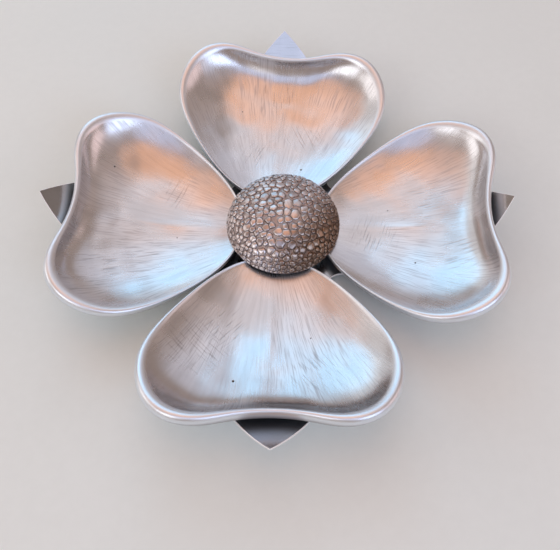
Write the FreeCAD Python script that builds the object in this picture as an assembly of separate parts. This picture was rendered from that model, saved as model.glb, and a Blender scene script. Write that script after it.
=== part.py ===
"""Blossom-shaped centrepiece: four heart-shaped petal dishes and a pebbled cap on a four-pointed sheet calyx.

Millimetres, +Z up. The origin is on the table, under the middle of the calyx. The right petal points along +X
and the back petal along +Y, each to within a few degrees.
"""
import FreeCAD, Part
import math
import os

Vec = FreeCAD.Vector
UP = Vec(0, 0, 1)
CENTRE = Vec(0, 0, 0)

# Calyx: a flat middle, then four sepals, each curving up on one radius to its point.
FOOT_HEIGHT = 3.0
SHEET = 2.0
SHEET_TOP = FOOT_HEIGHT + SHEET
SEPAL_ROOT_HALF_WIDTH = 22.5
SEPAL_HALF_WIDTH = 43.0
SEPAL_POINT_LENGTH = 78.0
SHEET_MARGIN = 1.0
OVER_TIP = 1.05

# The notches between sepals are rounded, and their corners lie nearer the middle than NOTCH_REACH.
NOTCH_RADIUS = 11.3
NOTCH_REACH = 60.0

# The sepals are bent by hand, each in its own way: reach of the flat, reach of the tip, height of the tip.
SEPALS = {
    "right": (77.0, 157.0, 50.0),
    "back": (56.0, 160.0, 50.2),
    "left": (63.0, 160.0, 51.0),
    "front": (56.0, 160.0, 50.2),
}

# Direction of each sepal, in degrees from +X.
AZIMUTHS = {"right": 2.4, "back": 90.0, "left": 179.5, "front": 270.0}

# Petal dish, in its own frame: u runs out from the middle of the blossom, v sideways, w up from the rim.
# Each rim point is (u, v, lip width) on the inner edge of the lip, from the notch round to the inner end.
RIM_HALF = [
    (136.5, 0.0, 3.6),
    (138.8, 24.0, 4.2),
    (141.0, 46.0, 6.4),
    (136.5, 58.8, 7.4),
    (123.0, 69.6, 7.2),
    (102.0, 73.6, 5.6),
    (80.0, 67.0, 3.6),
    (58.0, 53.3, 2.3),
    (34.0, 30.2, 1.7),
    (26.5, 16.5, 1.6),
    (24.5, 0.0, 1.6),
]
DISH_CENTRE_U = 104.0
DISH_DEPTH = 10.0
DISH_FLOOR = 2.4
DISH_WALL_HEIGHT = 6.6
LIP_CROWN = 0.9
WALL_STEEPNESS = 6.0
RAMP_STEEPNESS = 2.0
RIM_STATIONS = 72
SKIN_DEGREE = 3

# Rings of the dish's skin. The inside and the underside are the rim drawn in to these scales. Each lip ring
# is moved out by a share of the lip's width, up by a share of the crown, and down by a share of the width.
INSIDE_RINGS = (0.10, 0.25, 0.40, 0.55, 0.70, 0.82, 0.91, 0.97)
LIP_RINGS = ((0.0, 0.0, 0.0), (0.3, 0.9, 0.0), (0.65, 0.8, 0.0), (0.93, 0.0, 0.16), (1.02, 0.0, 0.6))
UNDERSIDE_RINGS = (1.0, 0.96, 0.88, 0.76, 0.62, 0.46, 0.28, 0.10)

# The rim is bent: its sides rise by BOW at BOW_SPAN from the midline, and its ends by CURL at CURL_SPAN
# from CURL_U.
BOW = 8.0
BOW_SPAN = 80.0
CURL = 3.7
CURL_SPAN = 50.0
CURL_U = 90.0

# Each petal leans back by PETAL_TILT about the point at PETAL_TILT_U, which is PETAL_HEIGHT above the table.
PETAL_TILT = 16.2
PETAL_TILT_U = 100.0
PETAL_HEIGHT = 28.7

# The petals are fitted by hand, so each sits a little off its true place:
# turn about its screw, shift outwards, shift sideways, lift, and roll to the side.
SEATS = {
    "right": (-4.8, 4.2, -1.8, 0.8, -1.5),
    "back": (-4.0, 0.4, 3.0, -0.3, 0.7),
    "left": (-0.5, 2.2, 1.2, 0.4, -1.7),
    "front": (1.8, 1.4, -3.2, 0.1, -0.6),
}

# Petal fastening: a tapped boss under each dish, an M4 pan-head screw and a washer under the sepal.
SCREW_REACH = 75.0
BOSS_RADIUS = 7.0
BOSS_CLEARANCE = 0.2
BOSS_INTO_FLOOR = 1.1
SCREW_RADIUS = 2.0
TAP_RADIUS = 2.04
TAP_DEPTH = 5.6
SHEET_HOLE_RADIUS = 2.25
SCREW_HEAD_RADIUS = 4.0
SCREW_HEAD_HEIGHT = 2.0
SCREW_HEAD_EDGE = 0.7
SCREW_LENGTH = 8.0
SCREW_RECESS_RADIUS = 1.6
SCREW_RECESS_DEPTH = 1.1
WASHER_RADIUS = 4.5
WASHER_THICKNESS = 0.6

# Centre stack: M8 bolt, split lock washer, nut and fibre seat washer. Its hole is drilled BOLT_OFFSET to the
# right of the calyx's middle, so the cap on it sits off centre too.
BOLT_OFFSET = 2.9
BOLT_RADIUS = 4.0
BOLT_HEAD_RADIUS = 7.5
BOLT_HEAD_HEIGHT = 2.4
BOLT_TOP = 26.0
BOLT_CHAMFER = 0.8
BOLT_ROOM = 0.5
BOLT_SLOT_WIDTH = 1.6
BOLT_SLOT_DEPTH = 1.2
RUNNING_GAP = 0.05
LOCK_WASHER_RADIUS = 7.0
LOCK_WASHER_THICKNESS = 1.8
LOCK_WASHER_SLIT = 1.0
NUT_SIDES = 6
NUT_ACROSS_FLATS = 13.0
NUT_HEIGHT = 6.5
NUT_CHAMFER = 0.6
NUT_BASE = SHEET_TOP + LOCK_WASHER_THICKNESS
SEAT_WASHER_RADIUS = 10.0
SEAT_WASHER_THICKNESS = 2.0
CAP_SEAT = NUT_BASE + NUT_HEIGHT + SEAT_WASHER_THICKNESS

# Cap: half an ellipsoid on a short rolled edge, hollow, with a boss that holds the threaded insert.
CAP_RADIUS = 40.0
CAP_RISE = 22.4
CAP_WIDEST_HEIGHT = 18.6
CAP_EDGE_DROP = 1.2
CAP_EDGE_RADIUS = 38.6
CAP_WALL = 3.0
CAP_BOSS_RADIUS = 11.0
INSERT_RADIUS = 6.5
INSERT_LENGTH = 10.0
INSERT_FLANGE_RADIUS = 8.5
INSERT_FLANGE_HEIGHT = 1.2

# Rubber bumpers under the flat of the calyx, one under the root of each sepal.
FOOT_REACH = 42.0
FOOT_RADIUS = 6.5
FOOT_EDGE = 0.8


def sepal_radius(side):
    """Radius of the curve that lifts a sepal from the flat to its tip."""
    flat_reach, tip_reach, tip_height = SEPALS[side]
    run = tip_reach - flat_reach
    half_turn = math.atan((tip_height - SHEET_TOP) / run)
    return run / math.sin(2 * half_turn)


def sepal_slope(side, reach):
    """Slope, in radians, of a sepal's top at a distance from the middle."""
    past_flat = max(0.0, reach - SEPALS[side][0])
    return math.asin(past_flat / sepal_radius(side))


def sepal_top(side, reach):
    """Height of a sepal's top at a distance from the middle."""
    return SHEET_TOP + sepal_radius(side) * (1 - math.cos(sepal_slope(side, reach)))


def disc(radius, height, base_z):
    """Upright cylinder on the centre line."""
    return Part.makeCylinder(radius, height, Vec(0, 0, base_z))


def ring(outer_radius, inner_radius, height, base_z):
    """Upright ring on the centre line."""
    bore = disc(inner_radius, height, base_z)
    return disc(outer_radius, height, base_z).cut(bore)


def turned_to(side, shape):
    """Copy of a shape built over the X axis, turned round to its side of the blossom."""
    turned = shape.copy()
    turned.rotate(CENTRE, UP, AZIMUTHS[side])
    return turned


def on_sepal(side, shape):
    """Carry a shape from the centre line, where z = 0 is the sheet's top, to the screw's place on a sepal."""
    placed = shape.copy()
    placed.rotate(CENTRE, Vec(0, 1, 0), -math.degrees(sepal_slope(side, SCREW_REACH)))
    placed.translate(Vec(SCREW_REACH, 0, sepal_top(side, SCREW_REACH)))
    return placed


def over_bolt(shape):
    """A shape made round the Z axis, moved onto the bolt's axis."""
    placed = shape.copy()
    placed.translate(Vec(BOLT_OFFSET, 0, 0))
    return placed


# ---------------------------------------------------------------- calyx

def sepal_strip(side):
    """Bent strip of sheet from the middle out past a sepal's tip, wider than the sepal."""
    radius = sepal_radius(side)
    flat_reach, tip_reach, _ = SEPALS[side]
    last_slope = sepal_slope(side, tip_reach) * OVER_TIP
    bend_centre = Vec(flat_reach, 0, SHEET_TOP + radius)

    def on_bend(arc_radius, slope):
        return bend_centre + Vec(arc_radius * math.sin(slope), 0, -arc_radius * math.cos(slope))

    top = radius
    low = radius + SHEET
    top_arc = Part.Arc(on_bend(top, 0), on_bend(top, last_slope / 2), on_bend(top, last_slope))
    low_arc = Part.Arc(on_bend(low, last_slope), on_bend(low, last_slope / 2), on_bend(low, 0))
    mid_top = Vec(0, 0, SHEET_TOP)
    mid_low = Vec(0, 0, FOOT_HEIGHT)
    edges = [
        Part.makeLine(mid_top, on_bend(top, 0)),
        top_arc.toShape(),
        Part.makeLine(on_bend(top, last_slope), on_bend(low, last_slope)),
        low_arc.toShape(),
        Part.makeLine(on_bend(low, 0), mid_low),
        Part.makeLine(mid_low, mid_top),
    ]
    section = Part.Face(Part.Wire(edges))
    section.translate(Vec(0, -SEPAL_HALF_WIDTH - SHEET_MARGIN, 0))
    return section.extrude(Vec(0, 2 * (SEPAL_HALF_WIDTH + SHEET_MARGIN), 0))


def sepal_plan(side):
    """Upright prism with a sepal's outline: sides that spread from the middle, then arcs to the point."""
    _, tip_reach, tip_height = SEPALS[side]
    start = tip_reach - SEPAL_POINT_LENGTH
    arc_radius = (SEPAL_POINT_LENGTH ** 2 + SEPAL_HALF_WIDTH ** 2) / (2 * SEPAL_HALF_WIDTH)
    mid_angle = math.asin(SEPAL_POINT_LENGTH / arc_radius) / 2
    mid_x = start + arc_radius * math.sin(mid_angle)
    mid_y = SEPAL_HALF_WIDTH - arc_radius * (1 - math.cos(mid_angle))
    tip = Vec(tip_reach, 0, 0)
    edges = [Part.makeLine(Vec(0, -SEPAL_ROOT_HALF_WIDTH, 0), Vec(0, SEPAL_ROOT_HALF_WIDTH, 0))]
    for sign in (1, -1):
        shoulder = Vec(start, sign * SEPAL_HALF_WIDTH, 0)
        edges.append(Part.makeLine(Vec(0, sign * SEPAL_ROOT_HALF_WIDTH, 0), shoulder))
        edges.append(Part.Arc(shoulder, Vec(mid_x, sign * mid_y, 0), tip).toShape())
    outline = Part.Wire(Part.__sortEdges__(edges))
    return Part.Face(outline).extrude(Vec(0, 0, 2 * tip_height))


def is_notch(edge):
    """True for the upright corner between two sepals."""
    box = edge.BoundBox
    return box.ZLength > SHEET / 2 and math.hypot(box.Center.x, box.Center.y) < NOTCH_REACH


def calyx():
    """The star: four sepals in one sheet, with a hole for the bolt and one for each petal's screw."""
    sepals = [turned_to(side, sepal_strip(side).common(sepal_plan(side))) for side in SEPALS]
    star = sepals[0].fuse(sepals[1:]).removeSplitter()
    star = star.makeFillet(NOTCH_RADIUS, [edge for edge in star.Edges if is_notch(edge)])
    drill_height = 2 * SHEET
    drill_base = FOOT_HEIGHT - SHEET / 2
    star = star.cut(over_bolt(disc(BOLT_RADIUS + RUNNING_GAP, drill_height, drill_base)))
    screw_drill = disc(SHEET_HOLE_RADIUS, drill_height, drill_base - SHEET_TOP)
    for side in SEPALS:
        star = star.cut(turned_to(side, on_sepal(side, screw_drill)))
    return star


# ---------------------------------------------------------------- petal dishes

def rim_curve():
    """Closed curve through the rim points, with the lip's width as its third coordinate."""
    one_side = [Vec(u, v, lip) for u, v, lip in RIM_HALF]
    other_side = [Vec(u, -v, lip) for u, v, lip in reversed(RIM_HALF[1:-1])]
    curve = Part.BSplineCurve()
    curve.interpolate(Points=one_side + other_side, PeriodicFlag=True)
    return curve


def rim_stations():
    """Evenly spread stations on the rim: (point, outward normal, lip width, steepness of the dish there)."""
    curve = rim_curve()
    length = curve.length()
    stations = []
    for index in range(RIM_STATIONS):
        parameter = curve.parameterAtDistance(length * index / RIM_STATIONS, curve.FirstParameter)
        value = curve.value(parameter)
        along = curve.tangent(parameter)[0]
        outward = Vec(along.y, -along.x, 0).normalize()
        point = Vec(value.x, value.y, 0)
        bearing = math.atan2(point.y, point.x - DISH_CENTRE_U)
        steepness = RAMP_STEEPNESS + (WALL_STEEPNESS - RAMP_STEEPNESS) * math.cos(bearing / 2)
        stations.append((point, outward, value.z, steepness))
    return stations


def bend(u, v):
    """How far the rim's bow and curl lift a point of the dish."""
    return BOW * (v / BOW_SPAN) ** 2 + CURL * ((u - CURL_U) / CURL_SPAN) ** 2


def dish_ring(stations, scale, lip_share, height_of):
    """One ring: the rim moved out by a share of the lip, then drawn in towards the dish's centre.

    height_of gives the ring's height above the rim from a station's lip width and steepness.
    """
    centre = Vec(DISH_CENTRE_U, 0, 0)
    points = []
    for point, outward, lip, steepness in stations:
        edge = point + outward * (lip * lip_share)
        placed = centre + (edge - centre) * scale
        height = height_of(lip, steepness) + bend(placed.x, placed.y)
        points.append(Vec(placed.x, placed.y, height))
    return points


def inside_ring(stations, scale):
    """Ring on the dish's inside, from the floor at scale 0 to the lip's inner edge at scale 1."""
    return dish_ring(stations, scale, 0.0, lambda lip, steepness: -DISH_DEPTH * (1 - scale ** steepness))


def lip_ring(stations, out_share, crown_share, drop_share):
    """Ring on the lip, which is crowned and rolls down to the outer wall."""
    return dish_ring(stations, 1.0, out_share,
                     lambda lip, steepness: crown_share * LIP_CROWN - drop_share * lip)


def underside_ring(stations, scale):
    """Ring on the underside, from below the floor at scale 0 to the foot of the outer wall at scale 1."""
    below_wall = DISH_DEPTH + DISH_FLOOR - DISH_WALL_HEIGHT
    return dish_ring(stations, scale, 1.0,
                     lambda lip, steepness: -DISH_WALL_HEIGHT - below_wall * (1 - scale ** steepness))


def level(points):
    """The same ring, flat at its mean height, so that a flat face can close it."""
    height = sum(p.z for p in points) / len(points)
    return [Vec(p.x, p.y, height) for p in points]


def smooth_skin(rings):
    """Surface that has the rings as its net of control points, closed round each ring."""
    spans_out = len(rings) - SKIN_DEGREE
    ring_size = len(rings[0])
    end_knot = SKIN_DEGREE + 1
    skin = Part.BSplineSurface()
    skin.buildFromPolesMultsKnots(
        rings,
        [end_knot] + [1] * (spans_out - 1) + [end_knot],
        [1] * (ring_size + 1),
        [float(i) for i in range(spans_out + 1)],
        [float(i) for i in range(ring_size + 1)],
        False, True, SKIN_DEGREE, SKIN_DEGREE)
    return skin


def dish_shell():
    """The dish in its own frame: one skin from the floor, up over the lip and down to the underside."""
    stations = rim_stations()
    rings = [inside_ring(stations, scale) for scale in INSIDE_RINGS]
    rings.extend(lip_ring(stations, *shares) for shares in LIP_RINGS)
    rings.extend(underside_ring(stations, scale) for scale in UNDERSIDE_RINGS)
    rings[0] = level(rings[0])
    rings[-1] = level(rings[-1])
    skin = smooth_skin(rings).toShape()
    ends = [edge for edge in skin.Edges if edge.isClosed()]
    shell = Part.makeShell([skin] + [Part.Face(Part.Wire([edge])) for edge in ends])
    shell.sewShape()
    return Part.makeSolid(shell)


def seated(side, dish):
    """Lean the dish back, and set it in its own place over the X sepal."""
    turn, outwards, sideways, lift, roll = SEATS[side]
    placed = dish.copy()
    placed.rotate(Vec(SCREW_REACH, 0, 0), UP, turn)
    placed.rotate(CENTRE, Vec(1, 0, 0), roll)
    placed.rotate(Vec(PETAL_TILT_U, 0, 0), Vec(0, 1, 0), -PETAL_TILT)
    placed.translate(Vec(outwards, sideways, PETAL_HEIGHT + lift))
    return placed


def screw_boss(side, dish):
    """Round boss from just above the sepal up into the dish's floor, shaped at its top like the floor."""
    raised_dish = dish.copy()
    raised_dish.translate(Vec(0, 0, BOSS_INTO_FLOOR))
    column = on_sepal(side, disc(BOSS_RADIUS, PETAL_HEIGHT, BOSS_CLEARANCE))
    return min(column.cut(raised_dish).Solids, key=lambda solid: solid.CenterOfMass.z)


def petal(side, dish):
    """A dish in its place, with the tapped boss that its screw pulls down to the sepal."""
    placed = seated(side, dish)
    tapped_hole = on_sepal(side, disc(TAP_RADIUS, TAP_DEPTH, 0))
    return turned_to(side, placed.fuse(screw_boss(side, placed)).cut(tapped_hole))


# ---------------------------------------------------------------- petal fastening

def round_edges(shape, below_z):
    """The closed edges of a shape that lie wholly below a height."""
    return [edge for edge in shape.Edges if edge.isClosed() and edge.BoundBox.ZMax < below_z]


def petal_screw(side):
    """Pan-head screw with a round recess, head down under the sepal."""
    head_top = -SHEET - WASHER_THICKNESS
    head_base = head_top - SCREW_HEAD_HEIGHT
    head = disc(SCREW_HEAD_RADIUS, SCREW_HEAD_HEIGHT, head_base)
    head = head.makeFillet(SCREW_HEAD_EDGE, round_edges(head, head_top))
    recess = disc(SCREW_RECESS_RADIUS, SCREW_RECESS_DEPTH, head_base)
    shank = disc(SCREW_RADIUS, SCREW_LENGTH, head_top)
    return turned_to(side, on_sepal(side, head.fuse(shank).cut(recess)))


def petal_washer(side):
    washer = ring(WASHER_RADIUS, SHEET_HOLE_RADIUS, WASHER_THICKNESS, -SHEET - WASHER_THICKNESS)
    return turned_to(side, on_sepal(side, washer))


# ---------------------------------------------------------------- centre stack

def centre_bolt():
    """Slotted bolt, head down, with a chamfered end that starts the cap's thread."""
    head_base = FOOT_HEIGHT - BOLT_HEAD_HEIGHT
    head = disc(BOLT_HEAD_RADIUS, BOLT_HEAD_HEIGHT, head_base)
    slot_corner = Vec(-BOLT_HEAD_RADIUS, -BOLT_SLOT_WIDTH / 2, head_base)
    slot = Part.makeBox(2 * BOLT_HEAD_RADIUS, BOLT_SLOT_WIDTH, BOLT_SLOT_DEPTH, slot_corner)
    chamfer_base = BOLT_TOP - BOLT_CHAMFER
    shank = disc(BOLT_RADIUS, chamfer_base - FOOT_HEIGHT, FOOT_HEIGHT)
    end = Part.makeCone(BOLT_RADIUS, BOLT_RADIUS - BOLT_CHAMFER, BOLT_CHAMFER, Vec(0, 0, chamfer_base))
    return head.cut(slot).fuse(shank).fuse(end).removeSplitter()


def lock_washer():
    """Split spring washer, flattened by the nut, with its slit left open."""
    washer = ring(LOCK_WASHER_RADIUS, BOLT_RADIUS + RUNNING_GAP, LOCK_WASHER_THICKNESS, SHEET_TOP)
    slit_corner = Vec(0, -LOCK_WASHER_SLIT / 2, SHEET_TOP)
    return washer.cut(Part.makeBox(LOCK_WASHER_RADIUS, LOCK_WASHER_SLIT, LOCK_WASHER_THICKNESS, slit_corner))


def centre_nut():
    """Hexagon nut with its corners chamfered at both ends."""
    corner_radius = NUT_ACROSS_FLATS / 2 / math.cos(math.pi / NUT_SIDES)
    corners = []
    for index in range(NUT_SIDES + 1):
        angle = index * 2 * math.pi / NUT_SIDES
        corners.append(Vec(corner_radius * math.cos(angle), corner_radius * math.sin(angle), NUT_BASE))
    prism = Part.Face(Part.makePolygon(corners)).extrude(Vec(0, 0, NUT_HEIGHT))
    base = Vec(0, 0, NUT_BASE)
    cone_height = NUT_HEIGHT + NUT_CHAMFER
    cone_radius = corner_radius - NUT_CHAMFER
    chamfer_cone = Part.makeCone(cone_radius, cone_radius + cone_height, cone_height, base)
    turned_over = chamfer_cone.mirror(Vec(0, 0, NUT_BASE + NUT_HEIGHT / 2), UP)
    bore = disc(BOLT_RADIUS + RUNNING_GAP, NUT_HEIGHT, NUT_BASE)
    return prism.common(chamfer_cone).common(turned_over).cut(bore)


def seat_washer():
    return ring(SEAT_WASHER_RADIUS, BOLT_RADIUS + RUNNING_GAP, SEAT_WASHER_THICKNESS, NUT_BASE + NUT_HEIGHT)


# ---------------------------------------------------------------- cap

def threaded_insert():
    """Flanged brass bush on the bolt: the flange takes the clamping load, and the bush holds the thread."""
    flange = disc(INSERT_FLANGE_RADIUS, INSERT_FLANGE_HEIGHT, CAP_SEAT)
    bush = disc(INSERT_RADIUS, INSERT_LENGTH, CAP_SEAT)
    bore = disc(BOLT_RADIUS + RUNNING_GAP, INSERT_LENGTH, CAP_SEAT)
    return flange.fuse(bush).removeSplitter().cut(bore)


def half_ellipsoid(radius, rise, base_z):
    """Upper half of an ellipsoid that is round in plan."""
    half_ball = Part.makeSphere(radius, CENTRE, UP, 0, 90, 360)
    squash = FreeCAD.Matrix()
    squash.scale(1, 1, rise / radius)
    squashed = half_ball.transformGeometry(squash)
    squashed.translate(Vec(0, 0, base_z))
    return squashed


def cap():
    """Hollow half ellipsoid with a rolled edge, and a boss inside that is bored for the insert."""
    edge_base = CAP_WIDEST_HEIGHT - CAP_EDGE_DROP
    rolled_edge = Part.makeCone(CAP_EDGE_RADIUS, CAP_RADIUS, CAP_EDGE_DROP, Vec(0, 0, edge_base))
    outside = half_ellipsoid(CAP_RADIUS, CAP_RISE, CAP_WIDEST_HEIGHT).fuse(rolled_edge)
    inner_radius = CAP_RADIUS - CAP_WALL
    hollow = half_ellipsoid(inner_radius, CAP_RISE - CAP_WALL, CAP_WIDEST_HEIGHT)
    hollow = hollow.fuse(disc(inner_radius, CAP_EDGE_DROP, edge_base))
    boss_base = CAP_SEAT + INSERT_FLANGE_HEIGHT + RUNNING_GAP
    boss_top = CAP_WIDEST_HEIGHT + CAP_RISE - CAP_WALL / 2
    boss = disc(CAP_BOSS_RADIUS, boss_top - boss_base, boss_base)
    bore_top = CAP_SEAT + INSERT_LENGTH + RUNNING_GAP
    bore = disc(INSERT_RADIUS + RUNNING_GAP, bore_top - boss_base, boss_base)
    bolt_room = disc(BOLT_RADIUS + BOLT_ROOM, BOLT_TOP + BOLT_ROOM - boss_base, boss_base)
    return outside.cut(hollow).fuse(boss).cut(bore).cut(bolt_room).removeSplitter()


# ---------------------------------------------------------------- feet

def foot(side):
    """Rubber bumper with a chamfered lower edge."""
    bumper = Part.makeCylinder(FOOT_RADIUS, FOOT_HEIGHT, Vec(FOOT_REACH, 0, 0))
    return turned_to(side, bumper.makeChamfer(FOOT_EDGE, round_edges(bumper, FOOT_HEIGHT)))


def build():
    """Every piece, by the name of its node."""
    pieces = {
        "calyx": calyx(),
        "centre_bolt": over_bolt(centre_bolt()),
        "lock_washer": over_bolt(lock_washer()),
        "centre_nut": over_bolt(centre_nut()),
        "seat_washer": over_bolt(seat_washer()),
        "threaded_insert": over_bolt(threaded_insert()),
        "pebbled_cap": over_bolt(cap()),
    }
    dish = dish_shell()
    for side in SEATS:
        pieces["petal_" + side] = petal(side, dish)
        pieces["petal_screw_" + side] = petal_screw(side)
        pieces["petal_washer_" + side] = petal_washer(side)
        pieces["foot_" + side] = foot(side)
    return pieces


def save(pieces):
    """Write one STEP file for each piece, after checking that it is one valid solid."""
    os.makedirs("parts", exist_ok=True)
    for name, piece in pieces.items():
        solids = piece.Solids
        assert len(solids) == 1 and solids[0].isValid(), name
        solids[0].exportStep("parts/" + name + ".step")


if __name__ == "__main__":
    save(build())
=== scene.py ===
import math
import bpy
import numpy as np
from mathutils import Matrix, Vector


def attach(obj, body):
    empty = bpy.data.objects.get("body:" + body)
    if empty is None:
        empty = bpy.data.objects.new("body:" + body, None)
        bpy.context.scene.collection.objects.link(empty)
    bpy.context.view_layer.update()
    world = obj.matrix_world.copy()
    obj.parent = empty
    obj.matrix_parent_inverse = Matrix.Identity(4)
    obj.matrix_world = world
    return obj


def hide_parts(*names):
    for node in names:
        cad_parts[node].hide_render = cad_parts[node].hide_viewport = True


# Looks for the blossom centrepiece. Metres, in the CAD frame, unless a name ends in _MM.

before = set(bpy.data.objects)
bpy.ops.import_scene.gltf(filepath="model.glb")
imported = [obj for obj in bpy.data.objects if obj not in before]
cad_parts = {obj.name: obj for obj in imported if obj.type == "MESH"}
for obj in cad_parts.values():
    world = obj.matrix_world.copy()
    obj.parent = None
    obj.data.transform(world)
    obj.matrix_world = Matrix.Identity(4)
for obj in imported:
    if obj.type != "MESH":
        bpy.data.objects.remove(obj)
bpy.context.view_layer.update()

MM = 0.001
SIDES = {"right": 2.4, "back": 90.0, "left": 179.5, "front": 270.0}

# Petal dish, as in part.py: (u, v, lip width) on the inner edge of the lip, from the notch to the inner end.
RIM_HALF_MM = [
    (136.5, 0.0, 3.6),
    (138.8, 24.0, 4.2),
    (141.0, 46.0, 6.4),
    (136.5, 58.8, 7.4),
    (123.0, 69.6, 7.2),
    (102.0, 73.6, 5.6),
    (80.0, 67.0, 3.6),
    (58.0, 53.3, 2.3),
    (34.0, 30.2, 1.7),
    (26.5, 16.5, 1.6),
    (24.5, 0.0, 1.6),
]
DISH_CENTRE_U_MM = 104.0
DISH_DEPTH_MM = 10.0
DISH_FLOOR_MM = 2.4
DISH_WALL_HEIGHT_MM = 6.6
LIP_CROWN_MM = 0.9
WALL_STEEPNESS = 6.0
RAMP_STEEPNESS = 2.0
RIM_STATIONS = 72
INSIDE_RINGS = (0.10, 0.25, 0.40, 0.55, 0.70, 0.82, 0.91, 0.97)
LIP_RINGS = ((0.0, 0.0, 0.0), (0.3, 0.9, 0.0), (0.65, 0.8, 0.0), (0.93, 0.0, 0.16), (1.02, 0.0, 0.6))
UNDERSIDE_RINGS = (1.0, 0.96, 0.88, 0.76, 0.62, 0.46, 0.28, 0.10)
BOW_MM, BOW_SPAN_MM = 8.0, 80.0
CURL_MM, CURL_SPAN_MM, CURL_U_MM = 3.7, 50.0, 90.0
PETAL_TILT = 16.2
PETAL_TILT_U_MM = 100.0
PETAL_HEIGHT_MM = 28.7
SCREW_REACH_MM = 75.0

# Seats, as in part.py: turn, outwards, sideways, lift, roll.
SEATS = {
    "right": (-4.8, 4.2, -1.8, 0.8, -1.5),
    "back": (-4.0, 0.4, 3.0, -0.3, 0.7),
    "left": (-0.5, 2.2, 1.2, 0.4, -1.7),
    "front": (1.8, 1.4, -3.2, 0.1, -0.6),
}

# The sepal under each dish's tapped boss: slope in degrees, height of its top.
SCREW_SEATS = {"right": (0.0, 5.0), "back": (7.676, 6.275), "left": (5.497, 5.576), "front": (7.676, 6.275)}

# The boss. It goes deeper into the dish than in part.py, and its lower edge is rounded off here only.
BOSS_RADIUS_MM = 7.0
BOSS_CLEARANCE_MM = 0.2
BOSS_EDGE_MM = 0.4
BOSS_INTO_FLOOR_MM = 1.2
BOSS_SIDES = 48
TAP_RADIUS_MM = 2.04
TAP_DEPTH_MM = 5.6

# Fineness of the petal's mesh, and the slow waves left in the dish by hand finishing: (length, height) in mm.
STEPS_ROUND = 4
STEPS_ACROSS = 5
CURVE_SAMPLES = 400
FILL_RINGS = (0.75, 0.5, 0.25)
HAND_WAVES_MM = ((46.0, 0.10), (27.0, 0.06), (15.0, 0.02))
WAVES_PER_LENGTH = 3
FIRST_PETAL_SEED = 11
SHARP_PETAL_EDGE = 50.0

# A petal's section runs from 0, the middle of its floor, over the lip to 1, the middle of its underside.
WAVES_STOP, WAVES_FADE = 0.36, 0.08
UNDERSIDE_SECTION = 0.7
INSIDE_ENDS = (0.385, 0.35)
LIP_STARTS = (0.36, 0.42)
UNDERSIDE_STARTS = (0.60, 0.68)

# Cap, as in part.py.
CAP_RADIUS_MM = 40.0
CAP_RISE_MM = 22.4
CAP_OFFSET_MM = 2.9
CAP_WIDEST_MM = 18.6
CAP_EDGE_MM = 17.4
CAP_EDGE_RADIUS_MM = 38.6
CAP_INNER_RADIUS_MM = 37.0
CAP_INNER_RISE_MM = 19.4
CAP_BOSS_RADIUS_MM = 11.0
CAP_BOSS_BASE_MM = 16.55
CAP_BORE_RADIUS_MM = 6.55
CAP_BORE_TOP_MM = 25.35
CAP_ROOM_RADIUS_MM = 4.5
CAP_ROOM_TOP_MM = 26.5

# Turned rings of the cap's edge and inside: (radius, height above the cap's edge).
CAP_EDGE_RINGS_MM = (
    (39.75, 0.75),
    (39.4, 0.35),
    (38.95, 0.08),
    (CAP_EDGE_RADIUS_MM - 0.2, 0.0),
    (37.4, 0.0),
    (37.06, 0.12),
    (CAP_INNER_RADIUS_MM, 0.5),
)
CAP_INSIDE_RINGS = 9
CAP_BOSS_TOP_MM = 27.0
CAP_BOSS_CHAMFER_MM = 0.3

# Pebbles on the cap. Sizes are shares of the pitch, which shrinks from the top of the cap to its edge.
CAP_SEED = 71
PEBBLE_SQUARES = 270
PEBBLE_PITCH_MM = 6.5
PEBBLE_SHRINK = 0.42
PEBBLE_SHRINK_POWER = 1.5
PEBBLE_TRIES = 26000
PEBBLE_FIELD = 1.12
PEBBLE_SIZES = (0.66, 1.12)
PEBBLE_PACKING = 0.44
PEBBLE_TILT = 0.05
PEBBLE_SUNK_MM = (0.02, 0.38)
PEBBLE_ROUNDING_MM = 1.0
PEBBLE_ROUNDING_RANGE = (0.8, 1.2)
PEBBLE_WARP_MM = ((7.0, 0.16), (3.4, 0.10))
PEBBLE_ROUND_REACH = 0.55
PEBBLE_CROWN_MM = 0.22
NEAREST_PEBBLES = 4
FAR_BORDER_MM = 9.0
BORDER_BLEND_MM = 0.12
BORDER_SHIFT = 0.18
BORDER_LIFT_MM = 0.02
GROOVE_DEPTH_MM = 0.9
LEAST_DEPTH_MM = 0.02
EDGE_FADE, LEAST_FADE = 0.02, 0.35
POINTS_AT_ONCE = 4000
WAVES_PER_NOISE = 4
ARC_SAMPLES = 2000


# ---------------------------------------------------------------- meshes

def new_mesh(name, points, faces):
    """A smooth-shaded object from points in metres."""
    mesh = bpy.data.meshes.new(name)
    mesh.from_pydata([tuple(p) for p in points], [], faces)
    mesh.validate()
    mesh.polygons.foreach_set("use_smooth", [True] * len(mesh.polygons))
    mesh.update()
    obj = bpy.data.objects.new(name, mesh)
    bpy.context.scene.collection.objects.link(obj)
    return obj


def add_vector(obj, name, values):
    """Store one vector for each point of a mesh, for its material to read."""
    layer = obj.data.attributes.new(name, "FLOAT_VECTOR", "POINT")
    layer.data.foreach_set("vector", np.asarray(values, np.float32).ravel())


def strip_faces(first, second, count):
    """Quads between two closed rings of count points that start at these indices."""
    return [(first + j, first + (j + 1) % count, second + (j + 1) % count, second + j) for j in range(count)]


def fan_faces(start, centre, count, forwards):
    """Triangles from a ring to one centre point, wound the way the ring runs or against it."""
    if forwards:
        return [(start + j, start + (j + 1) % count, centre) for j in range(count)]
    return [(start + (j + 1) % count, start + j, centre) for j in range(count)]


# ---------------------------------------------------------------- petal dishes

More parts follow.
